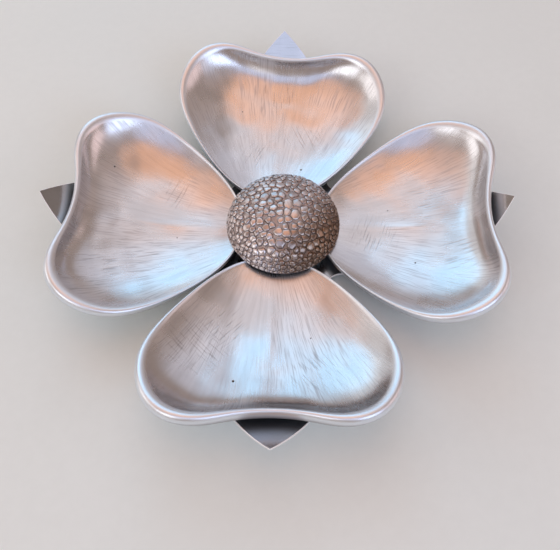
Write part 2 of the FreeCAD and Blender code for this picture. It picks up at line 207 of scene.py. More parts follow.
def closed_curve(points, samples):
    """Points on the smooth closed curve through the given points, timed by chord length."""
    count = len(points)
    nxt = np.roll(points, -1, axis=0)
    span = np.linalg.norm(nxt - points, axis=1)
    before = np.roll(span, 1)
    matrix = np.zeros((count, count))
    for i in range(count):
        matrix[i, i - 1] += before[i]
        matrix[i, i] += 2 * (before[i] + span[i])
        matrix[i, (i + 1) % count] += span[i]
    slope = (nxt - points) / span[:, None]
    second = np.linalg.solve(matrix, 6 * (slope - np.roll(slope, 1, axis=0)))
    second_next = np.roll(second, -1, axis=0)
    rows = []
    for i in range(count):
        t = np.linspace(0, 1, samples, endpoint=False)[:, None]
        h = span[i]
        left, right = (1 - t) * h, t * h
        rows.append(second[i] * left ** 3 / (6 * h) + second_next[i] * right ** 3 / (6 * h)
                    + (points[i] / h - second[i] * h / 6) * left
                    + (nxt[i] / h - second_next[i] * h / 6) * right)
    return np.concatenate(rows)


def rim_stations():
    """Point, outward normal, lip width and steepness at even steps round the rim, in mm."""
    half = np.array(RIM_HALF_MM)
    mirrored = half[1:-1][::-1] * (1, -1, 1)
    curve = closed_curve(np.concatenate([half, mirrored]), CURVE_SAMPLES)
    step = np.linalg.norm(np.roll(curve, -1, axis=0) - curve, axis=1)
    reached = np.concatenate([[0], np.cumsum(step)])
    wanted = np.arange(RIM_STATIONS) * reached[-1] / RIM_STATIONS
    closed = np.concatenate([curve, curve[:1]])
    at = np.stack([np.interp(wanted, reached, closed[:, k]) for k in range(3)], -1)
    along = np.roll(curve, -1, axis=0) - np.roll(curve, 1, axis=0)
    index = np.searchsorted(reached, wanted + 1e-9) - 1
    along = along[index % len(curve)]
    outward = np.stack([along[:, 1], -along[:, 0]], -1)
    outward /= np.linalg.norm(outward, axis=1)[:, None]
    bearing = np.arctan2(at[:, 1], at[:, 0] - DISH_CENTRE_U_MM)
    steepness = RAMP_STEEPNESS + (WALL_STEEPNESS - RAMP_STEEPNESS) * np.cos(bearing / 2)
    return at[:, :2], outward, at[:, 2], steepness


def bend(u, v):
    """How far the rim's bow and curl lift a point of the dish, in mm."""
    return BOW_MM * (v / BOW_SPAN_MM) ** 2 + CURL_MM * ((u - CURL_U_MM) / CURL_SPAN_MM) ** 2


def dish_ring(stations, scale, lip_share, height):
    """One ring: the rim moved out by a share of the lip, then drawn in towards the dish's centre."""
    point, outward, lip, _ = stations
    centre = np.array([DISH_CENTRE_U_MM, 0])
    placed = centre + (point + outward * (lip * lip_share)[:, None] - centre) * scale
    return np.column_stack([placed, height + bend(placed[:, 0], placed[:, 1])])


def dish_net():
    """The dish's rings of control points, as in part.py."""
    stations = rim_stations()
    _, _, lip, steepness = stations
    below_wall = DISH_DEPTH_MM + DISH_FLOOR_MM - DISH_WALL_HEIGHT_MM
    rings = [dish_ring(stations, s, 0.0, -DISH_DEPTH_MM * (1 - s ** steepness)) for s in INSIDE_RINGS]
    rings += [dish_ring(stations, 1.0, out, crown * LIP_CROWN_MM - drop * lip)
              for out, crown, drop in LIP_RINGS]
    rings += [dish_ring(stations, s, 1.0, -DISH_WALL_HEIGHT_MM - below_wall * (1 - s ** steepness))
              for s in UNDERSIDE_RINGS]
    for end in (0, -1):
        rings[end][:, 2] = rings[end][:, 2].mean()
    return np.array(rings)


def across_weights(poles, steps):
    """Cubic weights of a clamped row of control points."""
    spans = poles - 3
    knots = np.concatenate([[0] * 3, np.arange(spans + 1), [spans] * 3]).astype(float)
    rows = []
    for t in np.linspace(0, spans, spans * steps + 1):
        t = min(t, spans - 1e-9)
        basis = np.where((knots[:-1] <= t) & (t < knots[1:]), 1.0, 0.0)
        for degree in range(1, 4):
            grown = np.zeros(len(basis) - 1)
            for i in range(len(grown)):
                rise = knots[i + degree] - knots[i]
                fall = knots[i + degree + 1] - knots[i + 1]
                if rise > 0:
                    grown[i] += (t - knots[i]) / rise * basis[i]
                if fall > 0:
                    grown[i] += (knots[i + degree + 1] - t) / fall * basis[i + 1]
            basis = grown
        rows.append(basis)
    return np.array(rows)


def round_weights(poles, steps):
    """Cubic weights of a closed ring of control points."""
    rows = []
    for k in range(poles):
        for f in np.arange(steps) / steps:
            row = np.zeros(poles)
            row[(k - 1) % poles] = (1 - f) ** 3 / 6
            row[k] = (3 * f ** 3 - 6 * f ** 2 + 4) / 6
            row[(k + 1) % poles] = (-3 * f ** 3 + 3 * f ** 2 + 3 * f + 1) / 6
            row[(k + 2) % poles] = f ** 3 / 6
            rows.append(row)
    return np.array(rows)


def seat(points, side):
    """Carry points in mm from the dish's own frame to its place over the X axis."""
    turn, outwards, sideways, lift, roll = SEATS[side]
    place = (Matrix.Translation((outwards, sideways, PETAL_HEIGHT_MM + lift))
             @ Matrix.Translation((PETAL_TILT_U_MM, 0, 0))
             @ Matrix.Rotation(math.radians(-PETAL_TILT), 4, "Y")
             @ Matrix.Translation((-PETAL_TILT_U_MM, 0, 0)) @ Matrix.Rotation(math.radians(roll), 4, "X")
             @ Matrix.Translation((SCREW_REACH_MM, 0, 0)) @ Matrix.Rotation(math.radians(turn), 4, "Z")
             @ Matrix.Translation((-SCREW_REACH_MM, 0, 0)))
    place = np.array(place)
    return points @ place[:3, :3].T + place[:3, 3]


def turned_to(points, side):
    """Points made over the X axis, turned round to their side of the blossom."""
    return points @ np.array(Matrix.Rotation(math.radians(SIDES[side]), 3, "Z")).T


def screw_boss(side, underside):
    """Boss from just above the sepal up into the dish's floor, in mm over the X axis: points and faces."""
    slope, height = SCREW_SEATS[side]
    c, s = math.cos(math.radians(slope)), math.sin(math.radians(slope))
    near = underside[np.hypot(underside[:, 0] - SCREW_REACH_MM, underside[:, 1]) < 2 * BOSS_RADIUS_MM]
    flat = np.column_stack([near[:, :2], np.ones(len(near))])
    (a, b, d), *_ = np.linalg.lstsq(flat, near[:, 2], rcond=None)
    heading = np.arange(BOSS_SIDES) * 2 * math.pi / BOSS_SIDES
    rings = []
    for radius, up in ((TAP_RADIUS_MM, TAP_DEPTH_MM), (TAP_RADIUS_MM, BOSS_CLEARANCE_MM),
                       (BOSS_RADIUS_MM - BOSS_EDGE_MM, BOSS_CLEARANCE_MM),
                       (BOSS_RADIUS_MM, BOSS_CLEARANCE_MM + BOSS_EDGE_MM), (BOSS_RADIUS_MM, None)):
        x, y = radius * np.cos(heading), radius * np.sin(heading)
        base = np.column_stack([SCREW_REACH_MM + x * c, y, height + x * s])
        if up is None:
            up = (a * base[:, 0] + b * y + d + BOSS_INTO_FLOOR_MM - base[:, 2]) / (c + a * s)
        rings.append(base + np.outer(np.broadcast_to(up, x.shape), (-s, 0, c)))
    faces = []
    for i in range(len(rings) - 1):
        faces += strip_faces(i * BOSS_SIDES, (i + 1) * BOSS_SIDES, BOSS_SIDES)
    count = len(rings) * BOSS_SIDES
    faces += fan_faces(0, count, BOSS_SIDES, False)
    faces += fan_faces(count - BOSS_SIDES, count + 1, BOSS_SIDES, True)
    return np.concatenate(rings + [rings[0].mean(axis=0)[None], rings[-1].mean(axis=0)[None]]), faces


def hand_waves(grid, rng):
    """Slow unevenness over a dish, in mm."""
    wave = np.zeros(grid.shape[:2])
    for length, size in HAND_WAVES_MM:
        for _ in range(WAVES_PER_LENGTH):
            angle, phase = rng.uniform(0, 2 * math.pi, 2)
            k = 2 * math.pi / length
            along = grid[..., 0] * math.cos(angle) + grid[..., 1] * math.sin(angle)
            wave += size * np.sin(k * along + phase)
    return wave


def petal_mesh(side, seed):
    """One dish with its boss. Its attribute "dish" holds u and v in metres, and the place on the section."""
    net = dish_net()
    grid = np.einsum("ip,pqc,jq->ijc", across_weights(len(net), STEPS_ACROSS), net,
                     round_weights(RIM_STATIONS, STEPS_ROUND))
    rows, columns, _ = grid.shape
    section = np.repeat(np.linspace(0, 1, rows)[:, None], columns, axis=1)
    inside = np.clip((WAVES_STOP - section) / WAVES_FADE, 0, 1)
    grid[..., 2] += hand_waves(grid, np.random.default_rng(seed)) * inside
    points, sections, faces = [], [], []
    first_centre = grid[0].mean(axis=0)
    for share in FILL_RINGS[::-1]:
        points.append(first_centre + (grid[0] - first_centre) * share)
        sections.append(np.zeros(columns))
    points += list(grid)
    sections += list(section)
    last_centre = grid[-1].mean(axis=0)
    for share in FILL_RINGS:
        points.append(last_centre + (grid[-1] - last_centre) * share)
        sections.append(np.ones(columns))
    rings = len(points)
    for i in range(rings - 1):
        faces += strip_faces((i + 1) * columns, i * columns, columns)
    points = np.concatenate(points + [first_centre[None], last_centre[None]])
    sections = np.concatenate(sections + [[0.0], [1.0]])
    faces += fan_faces(0, rings * columns, columns, True)
    faces += fan_faces((rings - 1) * columns, rings * columns + 1, columns, False)
    placed = seat(points, side)
    boss, boss_faces = screw_boss(side, placed[sections > UNDERSIDE_SECTION])
    faces += [tuple(k + len(points) for k in face) for face in boss_faces]
    placed = turned_to(np.concatenate([placed, boss]), side)
    points = np.concatenate([points, boss])
    sections = np.concatenate([sections, np.ones(len(boss))])
    obj = new_mesh("petal_dish_" + side, placed * MM, faces)
    obj.data.set_sharp_from_angle(angle=math.radians(SHARP_PETAL_EDGE))
    add_vector(obj, "dish", np.column_stack([points[:, :2] * MM, sections]))
    return obj


# ---------------------------------------------------------------- pebbled cap

def smooth_noise(points, rng, waves):
    """A smooth random vector at each point. waves lists (length, size) in mm."""
    total = np.zeros_like(points)
    for length, size in waves:
        for _ in range(WAVES_PER_NOISE):
            heading = rng.normal(size=3)
            heading /= np.linalg.norm(heading)
            phase = rng.uniform(0, 2 * math.pi, 3)
            total += size * np.sin((points @ heading)[:, None] * 2 * math.pi / length + phase)
    return total


def dome_point(share, angle):
    """A point on the dome, share of the way down its curve from the top, in mm."""
    polar = np.linspace(0, math.pi / 2, ARC_SAMPLES)
    across, up = CAP_RADIUS_MM * np.sin(polar), CAP_RISE_MM * np.cos(polar)
    run = np.concatenate([[0], np.cumsum(np.hypot(np.diff(across), np.diff(up)))])
    at = np.interp(share * run[-1], run, polar)
    radius = CAP_RADIUS_MM * np.sin(at)
    height = CAP_WIDEST_MM + CAP_RISE_MM * np.cos(at)
    return np.stack([radius * np.cos(angle), radius * np.sin(angle), height], -1)


def dome_normal(points):
    """Outward normals of the dome at points in mm."""
    normal = np.stack([points[:, 0] / CAP_RADIUS_MM ** 2, points[:, 1] / CAP_RADIUS_MM ** 2,
                       (points[:, 2] - CAP_WIDEST_MM) / CAP_RISE_MM ** 2], -1)
    return normal / np.linalg.norm(normal, axis=1)[:, None]


def pebble_seeds(rng):
    """Middles of the pebbles: random points on the dome, none nearer to another than its own spacing."""
    seeds, sizes = [], []
    for _ in range(PEBBLE_TRIES):
        share, angle = math.sqrt(rng.uniform(0, PEBBLE_FIELD)), rng.uniform(0, 2 * math.pi)
        pitch = PEBBLE_PITCH_MM * (1 - PEBBLE_SHRINK * share ** PEBBLE_SHRINK_POWER)
        size = pitch * rng.uniform(*PEBBLE_SIZES)
        point = dome_point(np.array(share), np.array(angle))
        if seeds:
            gap = np.linalg.norm(np.array(seeds) - point, axis=1)
            if np.any(gap < (size + np.array(sizes)) * PEBBLE_PACKING):
                continue
        seeds.append(point)
        sizes.append(size)
    return np.array(seeds), np.array(sizes)


def pebbles(points, rng):
    """Depth below the dome in mm, how far up a pebble's side each point is, and its pebble's own tone."""
    seeds, sizes = pebble_seeds(rng)
    tilt = rng.normal(scale=PEBBLE_TILT, size=(len(seeds), 3))
    sunk = rng.uniform(*PEBBLE_SUNK_MM, len(seeds))
    tone = rng.uniform(0, 1, len(seeds))
    rounding = PEBBLE_ROUNDING_MM * rng.uniform(*PEBBLE_ROUNDING_RANGE, len(seeds))
    warped = points + smooth_noise(points, rng, PEBBLE_WARP_MM)
    depth, side, own = [], [], []
    for start in range(0, len(points), POINTS_AT_ONCE):
        part = warped[start:start + POINTS_AT_ONCE]
        gap = np.linalg.norm(part[:, None] - seeds[None], axis=2)
        order = np.argpartition(gap, NEAREST_PEBBLES, axis=1)[:, :NEAREST_PEBBLES]
        near = np.take_along_axis(gap, order, axis=1)
        rank = np.argsort(near, axis=1)
        order = np.take_along_axis(order, rank, axis=1)
        near = np.take_along_axis(near, rank, axis=1)
        first = order[:, 0]
        border = np.full(len(part), FAR_BORDER_MM)
        for k in range(1, NEAREST_PEBBLES):
            apart = np.linalg.norm(seeds[order[:, k]] - seeds[first], axis=1)
            to_border = (near[:, k] ** 2 - near[:, 0] ** 2) / (2 * apart)
            to_border += (sizes[first] - sizes[order[:, k]]) * BORDER_SHIFT
            both = np.exp(-border / BORDER_BLEND_MM) + np.exp(-to_border / BORDER_BLEND_MM)
            border = -np.log(both) * BORDER_BLEND_MM
        border = np.minimum(border, sizes[first] * PEBBLE_ROUND_REACH - near[:, 0])
        reach = np.clip((border + BORDER_LIFT_MM) / rounding[first], 0, 1)
        up = np.sqrt(1 - (1 - reach) ** 2)
        offset = part - seeds[first]
        crown = PEBBLE_CROWN_MM * (near[:, 0] / sizes[first] * 2) ** 2
        lean = np.einsum("ij,ij->i", offset, tilt[first]) + crown
        below = sunk[first] + lean + (GROOVE_DEPTH_MM - sunk[first]) * (1 - up)
        depth.append(np.maximum(below, LEAST_DEPTH_MM))
        side.append(up)
        own.append(tone[first])
    return np.concatenate(depth), np.concatenate(side), np.concatenate(own)


def cap_mesh():
    """The cap: a square sheet of fine faces wrapped over the dome, then rings for its edge and inside.

    Its attribute "pebble" holds how far up a pebble's side a point is, its pebble's tone, and 1 on the dome.
    """
    count = PEBBLE_SQUARES
    line = np.linspace(-1, 1, count + 1)
    across, along = np.meshgrid(line, line, indexing="ij")
    wide = np.abs(across) > np.abs(along)
    share = np.maximum(np.abs(across), np.abs(along))
    safe_across = np.where(across == 0, 1, across)
    safe_along = np.where(along == 0, 1, along)
    angle = np.where(wide, math.pi / 4 * along / safe_across + np.where(across < 0, math.pi, 0),
                     math.pi / 2 - math.pi / 4 * across / safe_along + np.where(along < 0, math.pi, 0))
    points = dome_point(share.ravel(), angle.ravel())
    rng = np.random.default_rng(CAP_SEED)
    depth, side, tone = pebbles(points, rng)
    fade = np.clip((1 - share.ravel()) / EDGE_FADE, LEAST_FADE, 1)
    points = points - dome_normal(points) * (depth * fade)[:, None]
    index = np.arange((count + 1) ** 2).reshape(count + 1, count + 1)
    quads = np.stack([index[:-1, :-1], index[1:, :-1], index[1:, 1:], index[:-1, 1:]], -1).reshape(-1, 4)
    faces = [tuple(q) for q in quads]
    border = np.concatenate([index[:-1, 0], index[-1, :-1], index[1:, -1][::-1], index[0, 1:][::-1]])
    rim = points[border]
    heading = np.arctan2(rim[:, 1], rim[:, 0])
    profile = [(radius, CAP_EDGE_MM + above) for radius, above in CAP_EDGE_RINGS_MM]
    for turn in np.linspace(0, 1, CAP_INSIDE_RINGS):
        polar = math.pi / 2 + (math.asin(CAP_BOSS_RADIUS_MM / CAP_INNER_RADIUS_MM) - math.pi / 2) * turn
        height = CAP_WIDEST_MM + CAP_INNER_RISE_MM * math.cos(polar)
        profile.append((CAP_INNER_RADIUS_MM * math.sin(polar), height))
    profile += [(CAP_BOSS_RADIUS_MM, CAP_BOSS_TOP_MM),
                (CAP_BOSS_RADIUS_MM, CAP_BOSS_BASE_MM + CAP_BOSS_CHAMFER_MM),
                (CAP_BOSS_RADIUS_MM - CAP_BOSS_CHAMFER_MM, CAP_BOSS_BASE_MM),
                (CAP_BORE_RADIUS_MM + CAP_BOSS_CHAMFER_MM, CAP_BOSS_BASE_MM),
                (CAP_BORE_RADIUS_MM, CAP_BOSS_BASE_MM + CAP_BOSS_CHAMFER_MM),
                (CAP_BORE_RADIUS_MM, CAP_BORE_TOP_MM),
                (CAP_ROOM_RADIUS_MM, CAP_BORE_TOP_MM),
                (CAP_ROOM_RADIUS_MM, CAP_ROOM_TOP_MM)]
    start, rings = len(points), [border]
    extra = []
    for radius, height in profile:
        rings.append(start + len(extra) * len(border) + np.arange(len(border)))
        extra.append(np.column_stack([radius * np.cos(heading), radius * np.sin(heading),
                                      np.full(len(border), height)]))
    for first, second in zip(rings[:-1], rings[1:]):
        faces += [(first[j], second[j], second[(j + 1) % len(border)], first[(j + 1) % len(border)])
                  for j in range(len(border))]
    points = np.concatenate([points] + extra + [np.array([[0, 0, CAP_ROOM_TOP_MM]])])
    last = rings[-1]
    middle = len(points) - 1
    faces += [(last[(j + 1) % len(border)], last[j], middle) for j in range(len(border))]
    faces = [tuple(int(k) for k in f) for f in faces]
    plain = len(points) - start
    obj = new_mesh("pebbled_dome", (points + (CAP_OFFSET_MM, 0, 0)) * MM, faces)
    add_vector(obj, "pebble", np.column_stack([np.concatenate([side, np.ones(plain)]),
                                               np.concatenate([tone, np.full(plain, 0.5)]),
                                               np.concatenate([np.ones(start), np.zeros(plain)])]))
    return obj


# ---------------------------------------------------------------- nodes

class Graph:
    """Short calls for building one material."""

    def __init__(self, name):
        self.material = bpy.data.materials.new(name)
        self.material.use_nodes = True
        self.tree = self.material.node_tree
        self.shader = self.tree.nodes["Principled BSDF"]

    def node(self, kind, **settings):
        made = self.tree.nodes.new(kind)
        for key, value in settings.items():
            setattr(made, key, value)
        return made

    def put(self, value, socket):
        """Link a socket, or set a constant."""
        if isinstance(value, bpy.types.NodeSocket):
            self.tree.links.new(value, socket)
        else:
            socket.default_value = value

    def math(self, operation, *values, clamp=False):
        made = self.node("ShaderNodeMath", operation=operation, use_clamp=clamp)
        for i, value in enumerate(values):
            self.put(value, made.inputs[i])
        return made.outputs[0]

    def place(self):
        """Place in the piece's own coordinates, which move with it. At rest they are the CAD frame."""
        return self.node("ShaderNodeTexCoord").outputs["Object"]

    def attribute(self, name):
        return self.node("ShaderNodeAttribute", attribute_name=name).outputs["Vector"]

    def split(self, vector):
        made = self.node("ShaderNodeSeparateXYZ")
        self.put(vector, made.inputs[0])
        return made.outputs

    def join(self, x, y, z):
        made = self.node("ShaderNodeCombineXYZ")
        for i, value in enumerate((x, y, z)):
            self.put(value, made.inputs[i])
        return made.outputs[0]

    def stretched(self, first, second, third):
        """Vector of two (value, scale) pairs and a third value, for noise that is longer one way."""
        return self.join(self.math("MULTIPLY", *first), self.math("MULTIPLY", *second), third)

    def noise(self, vector, scale, detail=2.0, roughness=0.5):
        made = self.node("ShaderNodeTexNoise")
        self.put(vector, made.inputs["Vector"])
        made.inputs["Scale"].default_value = scale
        made.inputs["Detail"].default_value = detail
        made.inputs["Roughness"].default_value = roughness
        return made.outputs[0]

    def span(self, value, low, high, to_low=0.0, to_high=1.0, smooth=True):
        """Carry a value from one range to another, held at the ends."""
        made = self.node("ShaderNodeMapRange", interpolation_type="SMOOTHSTEP" if smooth else "LINEAR")
        for key, number in (("Value", value), ("From Min", low), ("From Max", high),
                            ("To Min", to_low), ("To Max", to_high)):
            self.put(number, made.inputs[key])
        return made.outputs[0]

    def blend(self, share, first, second, mode="MIX"):
        made = self.node("ShaderNodeMix", data_type="RGBA", blend_type=mode)
        self.put(share, made.inputs["Factor"])
        for value, socket in ((first, made.inputs[6]), (second, made.inputs[7])):
            self.put(value, socket)
        return made.outputs[2]

    def bump(self, height, distance, strength=1.0, normal=None):
        made = self.node("ShaderNodeBump")
        made.inputs["Strength"].default_value = strength
        made.inputs["Distance"].default_value = distance
        self.put(height, made.inputs["Height"])
        if normal is not None:
            self.put(normal, made.inputs["Normal"])
        return made.outputs[0]

    def finish(self, colour, roughness, metallic, normal=None):
        self.put(colour, self.shader.inputs["Base Color"])
        self.put(roughness, self.shader.inputs["Roughness"])
        self.put(metallic, self.shader.inputs["Metallic"])
        if normal is not None:
            self.put(normal, self.shader.inputs["Normal"])
        return self.material


def rgb(red, green, blue):
    """An opaque colour, in linear values."""
    return (red, green, blue, 1.0)


# ---------------------------------------------------------------- materials

def petal_metal(name, seed, hatches, pits):
    """Satin cast metal, brushed outwards from the blossom's middle, with a smooth lip whose pale blue-white
    is a painted reflection.
    """
    g = Graph(name)
    u, v, section = g.split(g.attribute("dish"))
    angle = g.math("ARCTAN2", v, g.math("ADD", u, 0.012))
    radius = g.math("SQRT", g.math("ADD", g.math("MULTIPLY", u, u), g.math("MULTIPLY", v, v)))
    wander = g.noise(g.join(u, v, seed), 22.0, 2.0)
    angle = g.math("ADD", angle, g.math("MULTIPLY", g.math("SUBTRACT", wander, 0.5), 0.05))
    fine = g.noise(g.stretched((angle, 135.0), (radius, 46.0), seed), 1.0, 3.0, 0.6)
    broad = g.noise(g.stretched((angle, 24.0), (radius, 22.0), seed + 3.0), 1.0, 2.0)
    patch = g.noise(g.join(u, v, seed + 7.0), 30.0, 2.0)
    inside = g.span(section, *INSIDE_ENDS)
    under = g.span(section, *UNDERSIDE_STARTS)
    streak = g.math("MULTIPLY", g.span(fine, 0.49, 0.61), g.span(patch, 0.44, 0.62, 0.16, 1.0))
    streak = g.math("MULTIPLY", streak, inside)
    scratch = 0.0
    for centre_u, centre_v, reach, slant in hatches:
        du, dv = g.math("SUBTRACT", u, centre_u * MM), g.math("SUBTRACT", v, centre_v * MM)
        away = g.math("SQRT", g.math("ADD", g.math("MULTIPLY", du, du), g.math("MULTIPLY", dv, dv)))
        mask = g.span(away, reach * MM, reach * MM * 0.25)
        c, s = math.cos(math.radians(slant)), math.sin(math.radians(slant))
        along = g.math("ADD", g.math("MULTIPLY", du, c), g.math("MULTIPLY", dv, s))
        over = g.math("SUBTRACT", g.math("MULTIPLY", dv, c), g.math("MULTIPLY", du, s))
        lines = g.noise(g.stretched((along, 70.0), (over, 900.0), seed + centre_u), 1.0, 1.0)
        scratch = g.math("MAXIMUM", scratch, g.math("MULTIPLY", mask, g.span(lines, 0.56, 0.68)))
    scratch = g.math("MULTIPLY", scratch, inside)
    spots = 0.0
    for pit_u, pit_v, size in pits:
        du, dv = g.math("SUBTRACT", u, pit_u * MM), g.math("SUBTRACT", v, pit_v * MM)
        away = g.math("SQRT", g.math("ADD", g.math("MULTIPLY", du, du), g.math("MULTIPLY", dv, dv)))
        spots = g.math("MAXIMUM", spots, g.span(away, size * MM, size * MM * 0.5))
    spots = g.math("MULTIPLY", spots, inside)
    tone = g.blend(g.span(patch, 0.35, 0.65), rgb(0.68, 0.69, 0.715), rgb(0.79, 0.80, 0.825))
    dark = g.math("ADD", g.math("MULTIPLY", streak, 0.36), g.math("MULTIPLY", g.span(broad, 0.4, 0.62), 0.10))
    dark = g.math("ADD", dark, g.math("MULTIPLY", scratch, 0.38), clamp=True)
    colour = g.blend(dark, tone, rgb(0.30, 0.29, 0.30))
    # Painted reflection: the lip is painted a pale blue-white.
    colour = g.blend(g.span(section, *LIP_STARTS), colour, rgb(0.82, 0.87, 0.93))
    colour = g.blend(spots, colour, rgb(0.03, 0.028, 0.026))
    colour = g.blend(under, colour, rgb(0.42, 0.42, 0.43))
    rough = g.math("ADD", g.span(patch, 0.35, 0.65, 0.23, 0.30), g.math("MULTIPLY", streak, 0.10))
    rough = g.math("ADD", rough, g.math("MULTIPLY", g.span(section, *LIP_STARTS), 0.12))
    rough = g.math("ADD", rough, g.math("MULTIPLY", under, 0.25), clamp=True)
    grain = g.noise(g.place(), 900.0, 2.0)
    height = g.math("SUBTRACT", g.math("MULTIPLY", fine, inside), g.math("MULTIPLY", scratch, 0.8))
    height = g.math("SUBTRACT", height, g.math("MULTIPLY", spots, 6.0))
    height = g.math("ADD", height, g.math("MULTIPLY", g.math("MULTIPLY", grain, under), 3.0))
    return g.finish(colour, rough, 1.0, g.bump(height, 0.00006, 0.6))


def dome_metal():
    """Antiqued casting, dark in the grooves and bright on the pebbles' tops, with painted shade that makes it
    darker and browner to the front right.
    """
    g = Graph("dome_metal")
    side, tone, pebbled = g.split(g.attribute("pebble"))
    place = g.place()
    cloud = g.noise(place, 55.0, 3.0)
    speck = g.noise(place, 1500.0, 3.0, 0.6)
    top = g.span(side, 0.38, 0.80)
    ground = g.math("SUBTRACT", 1.0, g.span(side, 0.02, 0.30))
    shade = g.math("ADD", g.math("MULTIPLY", tone, 0.55), g.math("MULTIPLY", cloud, 0.45))
    rubbed = g.blend(g.span(shade, 0.25, 0.75), rgb(0.48, 0.43, 0.425), rgb(0.70, 0.655, 0.655))
    colour = g.blend(ground, rgb(0.070, 0.048, 0.040), rgb(0.44, 0.375, 0.36))
    colour = g.blend(top, colour, rubbed)
    colour = g.blend(g.math("MULTIPLY", g.span(speck, 0.55, 0.75), 0.35), colour, rgb(0.10, 0.065, 0.05))
    # Painted shade: the cap is darkened and browned towards its front right side.
    x, y, _ = g.split(place)
    aside = g.math("SUBTRACT", g.math("MULTIPLY", x, 0.8), g.math("MULTIPLY", y, 0.55))
    painted_shade = g.span(g.math("ADD", aside, g.math("MULTIPLY", cloud, 0.010)), 0.014, 0.040)
    colour = g.blend(painted_shade, colour, rgb(0.42, 0.33, 0.25), "MULTIPLY")
    colour = g.blend(pebbled, rgb(0.30, 0.29, 0.29), colour)
    rough = g.math("ADD", g.span(top, 0.0, 1.0, 0.34, 0.17), g.math("MULTIPLY", speck, 0.12))
    height = g.math("ADD", g.math("MULTIPLY", speck, 0.5), g.noise(place, 420.0, 2.0))
    return g.finish(colour, rough, 0.9, g.bump(height, 0.00012, 0.5))


def plain_metal(name, dark, light, rough_low, rough_high, scale, metallic=1.0, depth=0.00003):
    """Metal or moulded material with a slow tone change, fine grain and matching roughness."""
    g = Graph(name)
    place = g.place()
    cloud = g.noise(place, scale, 3.0)
    fine = g.noise(place, scale * 22.0, 3.0, 0.6)
    mixed = g.math("ADD", g.math("MULTIPLY", cloud, 0.7), g.math("MULTIPLY", fine, 0.3))
    colour = g.blend(g.span(mixed, 0.35, 0.65), rgb(*dark), rgb(*light))
    rough = g.span(mixed, 0.3, 0.7, rough_low, rough_high)
    return g.finish(colour, rough, metallic, g.bump(fine, depth, 0.5))


def sheet_metal():
    """Polished sheet with faint polishing lines along X and a filed edge painted near-white as a highlight,
    with painted reflections: darker at the front, brighter at the back and partly to the right.
    """
    g = Graph("calyx_sheet")
    place = g.place()
    x, y, z = g.split(place)
    lines = g.noise(g.stretched((x, 60.0), (y, 1400.0), g.math("MULTIPLY", z, 60.0)), 1.0, 2.0)
    cloud = g.noise(place, 40.0, 3.0)
    # Painted reflection: the sheet is painted darker at the front and brighter and bluer at the back and
    # partly to the right.
    painted_dark_reflection = g.blend(g.span(cloud, 0.35, 0.65), rgb(0.36, 0.39, 0.42), rgb(0.44, 0.475, 0.51))
    painted_bright_reflection = g.blend(g.span(cloud, 0.35, 0.65), rgb(0.72, 0.76, 0.78), rgb(0.80, 0.84, 0.86))
    bright = g.math("MAXIMUM", g.span(y, 0.05, 0.11), g.span(x, 0.10, 0.13, 0.0, 0.5))
    colour = g.blend(bright, painted_dark_reflection, painted_bright_reflection)
    colour = g.blend(g.math("MULTIPLY", g.span(lines, 0.5, 0.75), 0.25), colour, rgb(0.38, 0.40, 0.42))
    rough = g.math("ADD", g.span(cloud, 0.3, 0.7, 0.10, 0.17), g.math("MULTIPLY", lines, 0.04))
    # The filed edges, where the sheet stands near upright, are rougher and painted near-white as a painted
    # highlight.
    upright = g.split(g.node("ShaderNodeNewGeometry").outputs["True Normal"])[2]
    filed_and_highlight = g.span(g.math("ABSOLUTE", upright), 0.42, 0.30)
    colour = g.blend(filed_and_highlight, colour, rgb(0.97, 0.98, 0.98))
    rough = g.math("ADD", rough, g.math("MULTIPLY", filed_and_highlight, 0.45))
    metallic = g.math("SUBTRACT", 1.0, g.math("MULTIPLY", filed_and_highlight, 0.7))
    return g.finish(colour, rough, metallic, g.bump(lines, 0.00001, 0.3))


# ---------------------------------------------------------------- the object

# Each petal's seed, hatch marks as (u, v, reach, slant) and pits as (u, v, size), in mm and degrees.
PETAL_MARKS = {
    "right": (3.0, [(100, 20, 30, 8), (60, -8, 22, 75), (118, -25, 22, 12)],
              [(88, -30, 0.7), (70, 14, 0.5)]),
    "back": (11.0, [(112, 6, 26, 4), (78, -20, 20, 30), (60, 14, 16, -20)],
             [(50, -20, 0.8), (96, 30, 0.5)]),
    "left": (19.0, [(112, 44, 26, 22), (84, 30, 24, 18), (70, -26, 18, 70)],
             [(118, -38, 0.8), (66, 10, 0.5)]),
    "front": (27.0, [(88, -44, 30, 48), (74, -30, 24, -42), (104, 30, 26, 35)],
              [(112, -22, 0.9), (80, 26, 0.5)]),
}

for number, side in enumerate(SIDES):
    petal = petal_mesh(side, FIRST_PETAL_SEED + number)
    petal.data.materials.append(petal_metal("petal_metal_" + side, *PETAL_MARKS[side]))
    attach(petal, "base")
    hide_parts("petal_" + side)

dome = cap_mesh()
dome.data.materials.append(dome_metal())
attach(dome, "cap")
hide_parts("pebbled_cap")

steel = plain_metal("zinc_steel", (0.46, 0.46, 0.47), (0.62, 0.62, 0.64), 0.26, 0.38, 180.0)
brass = plain_metal("turned_brass", (0.62, 0.44, 0.18), (0.78, 0.60, 0.28), 0.22, 0.34, 160.0)
fibre = plain_metal("red_fibre", (0.20, 0.055, 0.035), (0.34, 0.10, 0.065), 0.62, 0.78, 260.0, 0.0, 0.0001)
rubber = plain_metal("bumper_rubber", (0.018, 0.018, 0.019), (0.040, 0.040, 0.041), 0.66, 0.82, 300.0,
                     0.0, 0.0001)
sheet = sheet_metal()
# Painted highlight: the filed bevel is painted near-white.
filed_edge_highlight = plain_metal("filed_edge_highlight", (0.93, 0.95, 0.96), (0.97, 0.98, 0.98), 0.50, 0.60, 200.0, 0.3)
finishes = {"calyx": sheet, "centre": steel, "lock": steel, "seat": fibre, "threaded": brass, "foot": rubber,
            "petal": steel}
for name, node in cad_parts.items():
    finish = finishes.get(name.split("_")[0])
    if finish:
        node.data.materials.clear()
        node.data.materials.append(finish)
